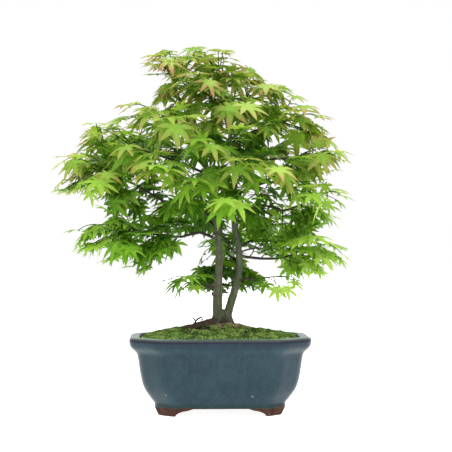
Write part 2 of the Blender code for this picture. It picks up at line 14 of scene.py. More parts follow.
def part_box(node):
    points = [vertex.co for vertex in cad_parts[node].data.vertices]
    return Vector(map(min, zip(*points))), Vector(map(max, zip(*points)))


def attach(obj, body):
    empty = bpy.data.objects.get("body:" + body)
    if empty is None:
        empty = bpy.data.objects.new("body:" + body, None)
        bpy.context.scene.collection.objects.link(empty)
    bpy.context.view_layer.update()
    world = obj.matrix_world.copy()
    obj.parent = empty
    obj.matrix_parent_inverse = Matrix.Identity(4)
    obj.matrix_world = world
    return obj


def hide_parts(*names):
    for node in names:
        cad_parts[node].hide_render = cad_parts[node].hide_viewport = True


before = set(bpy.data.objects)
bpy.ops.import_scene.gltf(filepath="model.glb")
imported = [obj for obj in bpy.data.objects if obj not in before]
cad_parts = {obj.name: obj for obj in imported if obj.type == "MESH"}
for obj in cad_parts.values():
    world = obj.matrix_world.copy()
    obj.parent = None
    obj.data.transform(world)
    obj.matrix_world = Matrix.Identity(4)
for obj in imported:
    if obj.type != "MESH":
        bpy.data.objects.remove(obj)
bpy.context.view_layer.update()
scene = bpy.context.scene
ops = bmesh.ops

# everything is modelled in millimetres from the middle of the pot's foot
potLow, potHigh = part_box("pot")
potMiddle = (potLow + potHigh) / 2
potMiddle.z = 0
toFrame = Matrix.Translation(potMiddle) @ Matrix.Scale(0.001, 4)
toPot = toFrame.inverted()
upward = Vector((0, 0, 1))


# small helpers

def clamped(value):
    return min(1.0, max(0.0, value))


def hexColour(code):
    value = int(code[1:], 16)
    parts = [(value >> shift & 255) / 255 for shift in (16, 8, 0)]
    linear = [p / 12.92 if p <= 0.04045 else ((p + 0.055) / 1.055) ** 2.4 for p in parts]
    return (*linear, 1.0)


def fill(socket, value):
    socket.default_value = hexColour(value) if isinstance(value, str) else value


def wire(owner, node, links):
    # each socket is given a (node, output), or a node for its first output or a Mix's colour
    for socket, source in links.items():
        if not isinstance(source, tuple):
            source = (source, 2 if source.bl_idname == "ShaderNodeMix" else 0)
        owner.node_tree.links.new(source[0].outputs[source[1]], node.inputs[socket])


def addNode(owner, coords, kind, settings=None, links=None):
    # settings name sockets (by name or number) and properties, or are a ramp's colour stops;
    # a node with no links reads the piece's own coordinates
    node = owner.node_tree.nodes.new("ShaderNode" + kind)
    if kind == "Mix":
        node.data_type = "RGBA"
    if isinstance(settings, tuple):
        ramp = node.color_ramp.elements
        while len(ramp) < len(settings):
            ramp.new(1.0)
        for element, (spot, code) in zip(ramp, settings):
            element.position = spot
            element.color = hexColour(code)
        settings = None
    for key, value in (settings or {}).items():
        if isinstance(key, int) or key in node.inputs:
            fill(node.inputs[key], value)
        else:
            setattr(node, key, value)
    if links is None and "Vector" in node.inputs:
        links = {"Vector": (coords, "Object")}
    wire(owner, node, links or {})
    return node


def newMaterial(name, settings):
    # the material, its shader, and a function that adds nodes to it
    made = bpy.data.materials.new(name)
    made.use_nodes = True
    shader = made.node_tree.nodes["Principled BSDF"]
    for key, value in settings.items():
        fill(shader.inputs[key], value)
    coords = made.node_tree.nodes.new("ShaderNodeTexCoord")
    return made, shader, partial(addNode, made, coords)


def shadeParts(add, attribute):
    # the three shades that a piece carries on its points
    return add("SeparateColor", {}, {0: add("Attribute", {"attribute_name": attribute})})


def linked(name, data):
    thing = bpy.data.objects.new(name, data)
    scene.collection.objects.link(thing)
    return thing


def cadCopy(node):
    # a CAD node's triangles with their corners joined, in millimetres from the pot's foot
    bm = bmesh.new()
    bm.from_mesh(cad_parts[node].data)
    ops.remove_doubles(bm, verts=bm.verts, dist=0.00002)
    ops.transform(bm, matrix=toPot, verts=bm.verts)
    return bm


def meshOf(name, bm):
    mesh = bpy.data.meshes.new(name)
    bm.to_mesh(mesh)
    bm.free()
    return mesh


def applied(mesh, *modifiers):
    # the mesh after the modifiers, each given as (kind, settings)
    holder = linked("holder", mesh)
    for kind, settings in modifiers:
        step = holder.modifiers.new(kind, kind)
        for key, value in settings.items():
            setattr(step, key, value)
    bpy.context.view_layer.update()
    result = bpy.data.meshes.new_from_object(holder.evaluated_get(bpy.context.evaluated_depsgraph_get()))
    bpy.data.objects.remove(holder)
    return result


def softened(bm, voxel, rounds):
    # one skin round everything in the mesh, smoothed
    mesh = applied(meshOf("soft", bm), ("REMESH", {"mode": "VOXEL", "voxel_size": voxel}))
    bm = bmesh.new()
    bm.from_mesh(mesh)
    for _ in range(rounds):
        ops.smooth_vert(bm, verts=bm.verts, factor=0.5, use_axis_x=True, use_axis_y=True,
                              use_axis_z=True)
    bm.normal_update()
    return bm


def place(name, bm, materials, nodes=(), sharp=None):
    # a finished piece: into the frame's metres, on its body, in place of its CAD nodes
    mesh = meshOf(name, bm) if isinstance(bm, bmesh.types.BMesh) else bm
    mesh.transform(toFrame)
    mesh.materials.clear()
    for each in materials:
        mesh.materials.append(each)
    mesh.shade_smooth()
    if sharp:
        mesh.set_sharp_from_angle(angle=radians(sharp))
    piece = linked(name, mesh)
    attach(piece, "root")
    if nodes:
        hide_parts(*nodes)


def curveThrough(points, steps):
    # Catmull-Rom through the points
    route = [Vector(p) for p in points]
    route = [2 * route[0] - route[1]] + route + [2 * route[-1] - route[-2]]
    found = []
    for a, b, c, d in zip(route, route[1:], route[2:], route[3:]):
        for step in range(steps):
            t = step / steps
            found.append(0.5 * ((2 * b) + (c - a) * t + (2 * a - 5 * b + 4 * c - d) * t ** 2
                                + (3 * b - 3 * c + d - a) * t ** 3))
    return found + [route[-2]]


def faceOut(bm):
    ops.recalc_face_normals(bm, faces=bm.faces)


def vertsIn(items):
    return [item for item in items if isinstance(item, bmesh.types.BMVert)]


def extrudeLoop(bm, loop):
    # the new ring's vertices and its edges
    grown = ops.extrude_edge_only(bm, edges=loop)["geom"]
    ring = vertsIn(grown)
    edges = [item for item in grown if isinstance(item, bmesh.types.BMEdge)
             and all(vert in ring for vert in item.verts)]
    return ring, edges


def prism(points, rise):
    # a closed block: an outline is drawn out along the rise
    bm = bmesh.new()
    face = bm.faces.new([bm.verts.new(p) for p in points])
    moved = ops.extrude_face_region(bm, geom=[face])["geom"]
    ops.translate(bm, vec=rise, verts=vertsIn(moved))
    faceOut(bm)
    return bm


def tubeAlong(bm, points, radii, sides):
    # a closed tube: a circle is extruded from point to point
    ahead = (points[1] - points[0]).normalized()
    flat = ahead.cross(upward if abs(ahead.z) < 0.95 else Vector((0, 1, 0))).normalized()
    turn = Matrix((flat, flat.cross(ahead).normalized(), ahead)).transposed().to_4x4()
    first = ops.create_circle(bm, cap_ends=True, radius=radii[0], segments=sides,
                                    matrix=Matrix.Translation(points[0]) @ turn)["verts"]
    loop = list({edge for vert in first for edge in vert.link_edges})
    for before, after, size, nextSize in zip(points, points[1:], radii, radii[1:]):
        ring, loop = extrudeLoop(bm, loop)
        ops.translate(bm, verts=ring, vec=after - before)
        ops.scale(bm, verts=ring, vec=[nextSize / size] * 3, space=Matrix.Translation(-after))
    ops.contextual_create(bm, geom=loop)


def joinCopies(name, parts, attribute):
    # each part is (points, faces, material number, shade per point)
    points = np.concatenate([part[0] for part in parts])
    shades = np.concatenate([part[3] for part in parts])
    faces = []
    numbers = []
    start = 0
    for partPoints, partFaces, number, _ in parts:
        faces += [[start + corner for corner in face] for face in partFaces]
        numbers += [number] * len(partFaces)
        start += len(partPoints)
    mesh = bpy.data.meshes.new(name)
    mesh.from_pydata(points.tolist(), [], faces)
    mesh.polygons.foreach_set("material_index", numbers)
    layer = mesh.attributes.new(attribute, "FLOAT_COLOR", "POINT")
    layer.data.foreach_set("color", np.c_[shades, np.ones(len(shades))].ravel())
    mesh.update()
    return mesh


def shapeOf(bm):
    # a ready shape's points and faces, to be copied
    bm.verts.ensure_lookup_table()
    points = np.array([v.co[:] for v in bm.verts])
    faces = [[v.index for v in face.verts] for face in bm.faces]
    bm.free()
    return points, faces


def treeOf(points):
    tree = KDTree(len(points))
    for number, point in enumerate(points):
        tree.insert(point, number)
    tree.balance()
    return tree


# materials

def glazedStoneware():
    # reactive blue-grey glaze dipped on red stoneware and fired: glossy, with painted shade dark under
    # the lip and a painted reflection pale on the flat of the rim, thin and brown on the lip's edge, and
    # stopping above bare matt feet
    made, shader, add = newMaterial("glazedStoneware", {"Specular IOR Level": 0.16})
    height = add("SeparateXYZ")
    # 24 mm patches, runs 5 mm wide drawn downwards, and a 1 mm mottle
    drift = add("TexNoise", {"Scale": 42.0, "Detail": 3.0})
    run = add("Mapping", {"Scale": (1.0, 1.0, 0.45)})
    streak = add("TexNoise", {"Scale": 190.0, "Detail": 4.0}, {"Vector": run})
    grain = add("TexNoise", {"Scale": 900.0, "Detail": 2.0})
    pool = add("ValToRGB", ((0.32, "#192d36"), (0.55, "#20353e"), (0.75, "#293f46")), {0: drift})
    flow = add("ValToRGB", ((0.25, "#182b36"), (0.52, "#223941"), (0.80, "#324b4f")), {0: streak})
    body = add("Mix", {0: 0.35}, {6: pool, 7: flow})
    mottle = add("MapRange", {1: 0.35, 2: 0.75, 3: 0.85, 4: 1.18}, {0: grain})
    body = add("Mix", {"blend_type": "MULTIPLY", 0: 1.0}, {6: body, 7: mottle})
    # the glaze line above the feet wanders by a millimetre or two; the lip's bands are straight
    wander = add("Math", {"operation": "MULTIPLY_ADD", 1: 0.005}, {0: drift, 2: (height, "Z")})
    byHeight = add("MapRange", {1: 0.0, 2: 0.088}, {0: wander})
    level = add("MapRange", {1: 0.0, 2: 0.088}, {0: (height, "Z")})
    no, yes = "#000000", "#ffffff"
    lipShadeBand = ((0.0, no), (0.83, no), (0.90, "#b0b0b0"), (0.934, yes), (0.945, no))
    rimReflectionBand = ((0.0, no), (0.946, no), (0.955, yes))
    footLine = ((0.0, no), (0.125, no), (0.145, yes), (0.19, no))
    # painted shade makes a navy band under the lip, a painted reflection makes the flat of the rim pale,
    # and the glaze darkens at its end
    for source, stops, code in ((level, lipShadeBand, "#121c2e"), (level, rimReflectionBand, "#4f716b"),
                                (byHeight, footLine, "#1c3231")):
        band = add("ValToRGB", stops, {0: source})
        body = add("Mix", {7: code}, {0: band, 6: body})
    lip = add("ValToRGB", ((0.0, no), (0.928, no), (0.937, yes), (0.943, yes), (0.953, no)), {0: level})
    worn = add("Math", {"operation": "MULTIPLY"}, {0: lip, 1: grain})
    body = add("Mix", {7: "#5a463a"}, {0: worn, 6: body})
    # pale specks where a grain of ash melted in, about one every 28 mm
    cells = add("TexVoronoi", {"Scale": 36.0})
    speck = add("MapRange", {1: 0.02, 2: 0.075, 3: 0.8, 4: 0.0}, {0: cells})
    body = add("Mix", {7: "#79866a"}, {0: speck, 6: body})
    # bare clay feet
    bare = add("ValToRGB", ((0.125, yes), (0.14, no)), {0: byHeight})
    clay = add("ValToRGB", ((0.3, "#301e18"), (0.6, "#4a3026"), (0.8, "#604739")), {0: streak})
    colour = add("Mix", {}, {0: bare, 6: body, 7: clay})
    dull = add("MapRange", {1: 0.0, 2: 1.0, 3: 0.24, 4: 0.85}, {0: bare})
    # soft orange peel, 4 mm across
    ripple = add("TexNoise", {"Scale": 260.0, "Detail": 2.0})
    bump = add("Bump", {"Strength": 0.25, "Distance": 0.0006}, {"Height": ripple})
    wire(made, shader, {"Base Color": colour, "Roughness": dull, "Normal": bump})
    return made


def mapleBark():
    # bark of a young Japanese maple: smooth, grey-green, with paler upright streaks and brown
    # scars at its nodes; the thin branches are darker and redder
    made, shader, add = newMaterial("mapleBark", {"Roughness": 0.78})
    parts = shadeParts(add, "woodShade")
    # streaks 1.6 mm wide, and lichen grey in 8 mm patches
    tall = add("Mapping", {"Scale": (1.0, 1.0, 0.12)})
    streak = add("TexNoise", {"Scale": 620.0, "Detail": 4.0}, {"Vector": tall})
    mottle = add("TexNoise", {"Scale": 130.0, "Detail": 5.0})
    green = add("ValToRGB", ((0.25, "#333b28"), (0.50, "#434d32"), (0.78, "#606b4a")), {0: streak})
    grey = add("ValToRGB", ((0.25, "#353228"), (0.52, "#4c4b3a"), (0.80, "#6b6853")), {0: streak})
    patch = add("MapRange", {1: 0.45, 2: 0.65}, {0: mottle})
    old = add("Mix", {}, {0: patch, 6: green, 7: grey})
    scar = add("Mix", {7: "#4a3828"}, {0: (parts, "Green"), 6: old})
    thin = add("ValToRGB", ((0.3, "#1c1512"), (0.6, "#32241d"), (0.8, "#4c3a2c")), {0: mottle})
    colour = add("Mix", {}, {0: (parts, "Red"), 6: thin, 7: scar})
    bump = add("Bump", {"Strength": 0.6, "Distance": 0.0005}, {"Height": streak})
    wire(made, shader, {"Base Color": colour, "Normal": bump})
    return made


def mapleLeaf():
    # a living maple leaf: thin, satin above, lets light through; deep green inside the crown and
    # yellow-green outside, partly the leaves' own colour and partly painted shade inside the crown and
    # painted light outside it, and bronze along the margins and tips of new growth
    made, shader, add = newMaterial("mapleLeaf", {"Roughness": 0.55, "IOR": 1.45,
                                                  "Specular IOR Level": 0.18})
    parts = shadeParts(add, "leafShade")
    # 4 mm tone changes
    blotch = add("TexNoise", {"Scale": 240.0, "Detail": 3.0})
    # the red shade is partly painted light and shade: higher outside and at the top of the crown, lower
    # inside it
    tone = add("Math", {"operation": "MULTIPLY_ADD", 1: 0.25}, {0: blotch, 2: (parts, "Red")})
    green = add("ValToRGB", ((0.12, "#3f7014"), (0.38, "#6da028"), (0.66, "#a3c954"),
                             (1.0, "#d4e490")), {0: tone})
    # bronze towards the tips, on young leaves only
    tip = add("MapRange", {1: 0.20, 2: 0.80}, {0: (parts, "Green")})
    rim = add("MapRange", {1: 0.30, 2: 0.0}, {0: (parts, "Blue")})
    rim = add("Math", {"operation": "MULTIPLY"}, {0: rim, 1: (parts, "Green")})
    young = add("MapRange", {1: 0.15, 2: 0.7}, {0: (parts, "Red")})
    both = add("Math", {"operation": "MULTIPLY_ADD", 1: 1.2}, {0: rim, 2: tip})
    bronze = add("Math", {"operation": "MULTIPLY", "use_clamp": True}, {0: both, 1: young})
    colour = add("Mix", {7: "#b07c60"}, {0: bronze, 6: green})
    # the midrib of each lobe is paler
    vein = add("MapRange", {1: 0.86, 2: 1.0, 4: 0.35}, {0: (parts, "Blue")})
    colour = add("Mix", {7: "#b9d27a"}, {0: vein, 6: colour})
    bump = add("Bump", {"Strength": 0.3, "Distance": 0.0004}, {"Height": blotch})
    wire(made, shader, {"Base Color": colour, "Normal": bump})
    through = add("Mix", {"blend_type": "MULTIPLY", 0: 1.0, 7: (1.0, 0.95, 0.45, 1.0)}, {6: colour})
    glow = add("BsdfTranslucent", {}, {"Color": through})
    both = add("MixShader", {0: 0.44}, {1: shader, 2: glow})
    wire(made, made.node_tree.nodes["Material Output"], {"Surface": both})
    return made


def cushionMoss():
    # living moss: matt cushions of tiny leafy stems, with painted shade dark between the cushions and
    # painted highlights yellow on their tops and at the stem tips
    made, shader, add = newMaterial("cushionMoss", {"Roughness": 0.92})
    parts = shadeParts(add, "mossShade")
    # 2 mm stems
    fine = add("TexNoise", {"Scale": 520.0, "Detail": 3.0})
    # the red shade is painted shade and highlight: low between the cushions, high on their tops and at
    # the stem tips
    sway = add("Math", {"operation": "MULTIPLY_ADD", 1: 0.5}, {0: fine, 2: (parts, "Red")})
    green = add("ValToRGB", ((0.20, "#18240a"), (0.46, "#3c581c"), (0.74, "#6c9036"),
                             (1.0, "#a3bb62")), {0: sway})
    earth = add("ValToRGB", ((0.3, "#1d1610"), (0.7, "#4a3a2a")), {0: fine})
    colour = add("Mix", {}, {0: (parts, "Green"), 6: green, 7: earth})
    bump = add("Bump", {"Strength": 0.8, "Distance": 0.001}, {"Height": fine})
    wire(made, shader, {"Base Color": colour, "Normal": bump})
    return made


def granular(name, codes, cellSize, roughness):
    # loose mineral grains: each grain has its own tone, with painted shade darkening the gaps between
    # them
    made, shader, add = newMaterial(name, {"Roughness": roughness})
    cells = add("TexVoronoi", {"Scale": 1000.0 / cellSize})
    tones = add("SeparateColor", {}, {0: (cells, "Color")})
    colour = add("ValToRGB", tuple(zip((0.1, 0.5, 0.9), codes)), {0: (tones, "Red")})
    # painted shade: darker towards each grain's edge
    gap = add("MapRange", {1: 0.25, 2: 0.75, 3: 1.0, 4: 0.35}, {0: cells})
    dark = add("Mix", {"blend_type": "MULTIPLY", 0: 1.0}, {6: colour, 7: gap})
    bump = add("Bump", {"Strength": 1.0, "Distance": 0.001, "invert": True}, {"Height": cells})
    wire(made, shader, {"Base Color": dark, "Normal": bump})
    return made


def tinted(name, settings, scale, detail, stops):
    # a plain finish whose tone drifts between the stops
    made, shader, add = newMaterial(name, settings)
    drift = add("TexNoise", {"Scale": scale, "Detail": detail})
    colour = add("ValToRGB", stops, {0: drift})
    wire(made, shader, {"Base Color": colour})
    return made


def mouldedNet():
    # injection-moulded polyethylene net, matt black with a faint moulding grain
    made, shader, add = newMaterial("mouldedNet", {"Roughness": 0.55, "Base Color": "#1b1b1c"})
    grain = add("TexNoise", {"Scale": 2500.0})
    bump = add("Bump", {"Strength": 0.15, "Distance": 0.0002}, {"Height": grain})
    wire(made, shader, {"Normal": bump})
    return made


glaze = glazedStoneware()
bark = mapleBark()
leaf = mapleLeaf()
mossGreen = cushionMoss()
# green stalks flushed red by the sun, smooth and faintly shiny
stalk = tinted("leafStalk", {"Roughness": 0.5}, 90.0, 2.0,
               ((0.35, "#5c2f22"), (0.55, "#7a4a34"), (0.72, "#7f7a3c")))
# dead stems and grass: matt, in fibres 1.5 mm wide
straw = tinted("dryStraw", {"Roughness": 0.85}, 700.0, 3.0,
               ((0.3, "#6b5a40"), (0.55, "#a89672"), (0.8, "#d2c6a4")))
deadBark = tinted("deadBark", {"Roughness": 0.85}, 700.0, 3.0,
                  ((0.3, "#241c16"), (0.55, "#43372b"), (0.8, "#6b5d4a")))
# annealed aluminium wire, drawn through a die: soft shine with faint marks along it
clipWire = tinted("drawnAluminium", {"Roughness": 0.35, "Metallic": 1.0}, 1800.0, 2.0,
                  ((0.3, "#b9babd"), (0.7, "#d6d7d9")))
net = mouldedNet()
print("materials ready")


# the pot

potLook = {
    # half length, height and canted corner, from the table up over the rim and down inside
    "outside": (
        (67.1, 0.0, 16.0), (71.0, 8.5, 18.0), (71.4, 12.6, 19.0), (73.6, 15.4, 21.0),
        (76.8, 19.6, 23.0), (81.6, 26.8, 25.5), (84.6, 34.0, 27.0), (86.4, 42.0, 27.5),
        (88.0, 52.0, 28.0), (89.2, 61.0, 28.0), (91.0, 67.5, 29.0), (95.8, 72.5, 31.5),
        (98.0, 76.0, 32.5), (98.6, 80.7, 33.0), (97.8, 83.4, 33.0), (95.6, 84.5, 32.0)),
    "inside": (
        (89.2, 84.5, 28.5), (87.8, 83.2, 28.0), (85.6, 74.0, 26.5), (83.0, 60.0, 24.5),
        (81.2, 45.0, 23.5), (78.0, 33.0, 22.0), (71.1, 23.5, 20.0), (63.1, 17.5, 18.0),
        (56.6, 15.5, 16.0)),
    "narrower": 25.0,          # the pot is this much less deep than long, each way
    "cornerRun": 9.0, "footHeight": 8.5, "footBand": 11.0, "footRound": 0.7,
    "holeRadius": 11.0, "holeSpots": (-40.0, 40.0), "unevenness": 0.5,
    "longArch": ((49.0, -2.0), (49.0, 0.0), (46.8, 3.0), (41.5, 5.4), (35.5, 6.6), (30.0, 8.5)),
    "shortArch": ((21.5, -2.0), (21.5, 0.0), (20.0, 3.0), (17.0, 5.4), (13.5, 6.6), (10.0, 8.5)),
}


def potOutline(halfX, cant, height):
    # a rectangle with canted, softly turned corners, with points close enough to curve
    halfY = halfX - potLook["narrower"]
    low = Vector((halfX, halfY - cant))
    high = Vector((halfX - cant, halfY))
    run = min(potLook["cornerRun"], cant * 0.42)
    slant = (high - low).normalized() * run
    quarter = []
    for before, corner, after in ((low - Vector((0, run)), low, low + slant),
                                  (high - slant, high, high - Vector((run, 0)))):
        for step in range(7):
            t = step / 6
            quarter.append(before * (1 - t) ** 2 + corner * 2 * t * (1 - t) + after * t * t)
    quarter.insert(7, (quarter[6] + quarter[7]) / 2)
    corners = []
    for sideX, sideY in ((1, 1), (-1, 1), (-1, -1), (1, -1)):
        part = [Vector((p.x * sideX, p.y * sideY, height)) for p in quarter]
        corners.append(part if sideX == sideY else part[::-1])
    full = []
    for part, after in zip(corners, corners[1:] + corners[:1]):
        full += part
        full += [part[-1].lerp(after[0], i / 8) for i in range(1, 8)]   # along the straight side
    return full


def potShell():
    # the outline is extruded from height to height, outside up and inside down
    outside = curveThrough(potLook["outside"], 3)
    inside = curveThrough(potLook["inside"], 3)
    rows = [potOutline(half, cant, z) for half, z, cant in outside + inside]
    bm = bmesh.new()
    ring = [bm.verts.new(p) for p in rows[0]]
    loop = [bm.edges.new((a, b)) for a, b in zip(ring, ring[1:] + ring[:1])]
    ops.contextual_create(bm, geom=loop)
    for row in rows[1:]:
        upper, loop = extrudeLoop(bm, loop)
        ring = [next(e.other_vert(v) for e in v.link_edges if e.other_vert(v) in upper)
                for v in ring]
        for vert, point in zip(ring, row):
            vert.co = point
    ops.contextual_create(bm, geom=loop)
    faceOut(bm)
    return bm


def archTool(profile, turn):
    side = curveThrough([(x, 0, z) for x, z in profile], 4)
    outline = side + [Vector((-p.x, 0, p.z)) for p in reversed(side)]
    bm = prism([(p.x, -110, p.z) for p in outline], (0, 220, 0))
    ops.rotate(bm, matrix=Matrix.Rotation(turn, 3, "Z"), verts=bm.verts)
    return bm


def recessTool():
    # the hollow between the feet, under the floor
    half = potLook["outside"][1][0] - potLook["footBand"]
    return prism(potOutline(half, 18.0, -2.0), (0, 0, 2.0 + potLook["footHeight"]))


def holeTool(x):
    bm = bmesh.new()
    ops.create_cone(bm, cap_ends=True, segments=48, radius1=potLook["holeRadius"],
                          radius2=potLook["holeRadius"], depth=20.0)
    ops.translate(bm, vec=(x, 0, 12.0), verts=bm.verts)
    return bm


def makePot():
    tools = [archTool(potLook["longArch"], 0.0), archTool(potLook["shortArch"], pi / 2),
             recessTool()] + [holeTool(x) for x in potLook["holeSpots"]]
    holders = [linked("tool", meshOf("tool", bm)) for bm in tools]
    mesh = applied(meshOf("potShell", potShell()),
                   *(("BOOLEAN", {"operation": "DIFFERENCE", "object": tool}) for tool in holders))
    for tool in holders:
        bpy.data.objects.remove(tool)
    bm = bmesh.new()
    bm.from_mesh(mesh)
    ops.remove_doubles(bm, verts=bm.verts, dist=0.01)
    # the cut edges of the feet were sponged round before firing
    edges = [e for e in bm.edges if len(e.link_faces) == 2 and e.calc_face_angle(0) > radians(38)
             and max(v.co.z for v in e.verts) < potLook["footHeight"] + 0.1]
    ops.bevel(bm, geom=edges, affect="EDGES", offset=potLook["footRound"], segments=2,
                    profile=0.5, material=-1, clamp_overlap=True)
    # hand finishing leaves the walls a little uneven
    for vert in bm.verts:
        if 12 < vert.co.z < 84:
            sway = noise.noise(vert.co / 38.0) * potLook["unevenness"]
            vert.co += Vector((vert.co.x, vert.co.y, 0)).normalized() * sway
    place("glazedPot", bm, [glaze], ["pot"], sharp=50)
    print("pot ready")


makePot()


# what stays as packed inside the pot gets its real finish

inner = {
    "drainage_gravel": granular("firedGravel", ("#6b4a33", "#a0744f", "#c9ab86"), 6.0, 0.95),
    "soil": granular("akadamaSoil", ("#2a1d14", "#4a3524", "#6d5138"), 3.0, 0.97),
    "drain_mesh_left": net, "drain_mesh_right": net,
    "mesh_clip_left": clipWire, "mesh_clip_right": clipWire,
}
for nodeName, finish in inner.items():
    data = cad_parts[nodeName].data
    data.materials.clear()
    data.materials.append(finish)


# roots, stems and branches

woodLook = {
    "voxel": 0.62,
    "stems": {
        "left": (
            (-2.0, 0, 97), (-2.3, -1, 106), (-2.1, -3, 129), (-0.9, -4, 151), (-0.4, -3, 175),
            (-2.7, 0, 209), (-8, 3, 238), (-15, 3, 272), (-25, 0, 310), (-33, -3, 332),
            (-45, -4, 346), (-50, -3, 362)),
        "right": (
            (7.6, 2, 97), (9.0, 2, 106), (14.0, 3, 124), (19.6, 4, 142), (22.4, 5, 158),
            (22.2, 5, 172), (20.0, 4, 188), (17.2, 3, 206), (15.8, 4, 225), (18, 7, 258),
            (14, 8, 298), (8, 5, 330), (0, 2, 357)),
    },
    "nodeRings": {"left": (128.5, 139, 151, 162.5, 174, 196, 222, 246, 270, 297),
                  "right": (147.5, 175, 206, 226, 250, 276, 303)},
    "ringSwell": 0.4,
    "skin": 0.22,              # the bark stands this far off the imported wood
    "roughness": 0.38,
    "burl": (122, 14, 0.7),    # height, spread and swell of the left stem's lump
    "flare": 118,              # the roots swell below this height
    # thin twigs between the stems and out of them: start radius, end radius, route
    "twigs": (
        (0.9, 0.55, ((-1, -2, 180), (-8, -6, 184), (-16, -8, 191))),
        (1.0, 0.6, ((21.5, 3, 171), (14, -2, 179.6), (4, -5, 190.6), (-8, -8, 199))),
        (1.0, 0.6, ((0, -3, 171), (6, -5, 178), (13, -4, 185.5), (23, -6, 194))),
        (0.7, 0.5, ((-1, -3, 130), (6, -6, 131.8), (12.5, -8, 131))),
        (1.2, 0.7, ((22, 4, 175), (30, 2, 178.5), (42.6, 0, 180.7), (56.5, -2, 179.6)))),
    # cut stubs on the left stem: height, side, length
    "stubs": ((174, -1, 1.6), (139, -1, 2.8), (137, -1, 1.8), (128.5, -1, 1.9), (131, 1, 2.0)),
}


def makeWood():
    bm = cadCopy("tree_wood")
    for first, last, route in woodLook["twigs"]:
        points = curveThrough(route, 4)
        share = [i / (len(points) - 1) for i in range(len(points))]
        tubeAlong(bm, points, [first + (last - first) * s for s in share], 8)
    points = [(side, point) for side, route in woodLook["stems"].items()
              for point in curveThrough(route, 8)]
    for height, side, length in woodLook["stubs"]:
        _, middle = min((row for row in points if row[0] == "left"),
                        key=lambda row: abs(row[1].z - height))
        aim = Vector((side, -0.45, 0.25)).normalized()
        tubeAlong(bm, [middle, middle + aim * (5.0 + length)], [1.7, 1.4], 8)
    faceOut(bm)
    bm = softened(bm, woodLook["voxel"], 6)
    tree = treeOf([point for _, point in points])
    burlHeight, burlSpread, burlSwell = woodLook["burl"]
    layer = bm.verts.layers.float_color.new("woodShade")
    for vert in bm.verts:
        spot, number, gap = tree.find(vert.co)
        thick = 5.6 - 4.3 * max(0.0, (spot.z - 100) / 260)
        onStem = clamped(1 - (gap - thick - 0.8) / 3.0)
        ring = 0.0
        for height in woodLook["nodeRings"][points[number][0]]:
            ring = max(ring, exp(-((vert.co.z - height) / 1.3) ** 2))
        rough = noise.noise(Vector((vert.co.x / 2.4, vert.co.y / 2.4, vert.co.z / 10.0)))
        swell = onStem * (ring * woodLook["ringSwell"] + rough * woodLook["roughness"])
        swell += woodLook["skin"]
        if points[number][0] == "left":
            swell += burlSwell * exp(-((vert.co.z - burlHeight) / burlSpread) ** 2)
        if vert.co.z < woodLook["flare"]:
            swell += noise.noise(vert.co / 4.0) * 0.6 * (woodLook["flare"] - vert.co.z) / 20
        vert.co += vert.normal * swell
        patchy = 0.5 + 0.5 * noise.noise(vert.co / 5.0)
        vert[layer] = (onStem, onStem * ring * (0.1 + 0.7 * patchy), patchy, 1.0)
    place("mapleWood", bm, [bark], ["tree_wood"])


makeWood()
print("wood ready")


# leaves

leafLook = {
    # bearing in degrees, reach and half width of each lobe, as shares of the leaf's length
    "lobes": (
        (-124, 0.36, 0.060), (-84, 0.72, 0.100), (-42, 0.93, 0.115), (0, 1.0, 0.122),
        (42, 0.93, 0.115), (84, 0.72, 0.100), (124, 0.36, 0.060)),
    "notches": (0.11, 0.17, 0.27, 0.33, 0.33, 0.27, 0.17, 0.11), "kinds": 6, "curl": (0.02, 0.24),
    "stalkRadius": 0.42, "size": (0.86, 1.1), "raise": (0, 34),
    "outsideShare": 0.62,      # a leaf outside the crown is made smaller and lowered
    "outsideDrop": 7,
    "tipShare": 0.66,          # and so is one whose tip leaves it, or that hides a stem
    "hidingShare": 0.6,
    "extra": 3,                # loose leaves on each shoot, and how they hang
    "drop": 1.5, "reach": (8, 17), "droop": (5, 55), "length": (16, 26),
    "youngHeight": 285, "seed": 21,
}
crownLook = {
    # height, then how far the leaves reach to the left and right of the pot's middle
    "outline": (
        (130, -30, 66), (145, -97, 92), (158, -112, 146), (170, -146, 142), (178, -168, 112),
        (198, -148, 104), (207, -130, 138), (216, -122, 142), (226, -122, 108), (236, -164, 98),
        (242, -188, 100), (252, -178, 108), (262, -162, 120), (278, -158, 136), (291, -158, 128),
        (313, -140, 112), (324, -112, 92), (331, -80, 90), (342, -66, 82), (357, -70, 66),
        (366, -62, 54), (377, -76, 38), (388, -88, 14), (397, -48, 6), (405, -20, 2)),
    # openings in the crown: middle across, middle height, half width, half height
    "openings": (
        (-27, 177, 33, 14), (-46, 150, 22, 18), (58, 158, 21, 15), (-78, 150, 13, 11),
        (-145, 215, 23, 9), (37, 172, 10, 13), (-46, 398, 8, 9), (-97, 343, 20, 7),
        (-152, 238, 9, 5), (132, 176, 12, 5), (92, 212, 12, 5)),
    "clearStems": (-20, 32, 206, 6),   # least x, most x, height and depth left free of leaves
    "tries": 9000, "enough": 12.5, "twigLength": (9, 62), "cell": 9.0,
    "drop": 0.8, "reach": (4, 10), "droop": (0, 55), "length": (15, 26), "seed": 77,
}


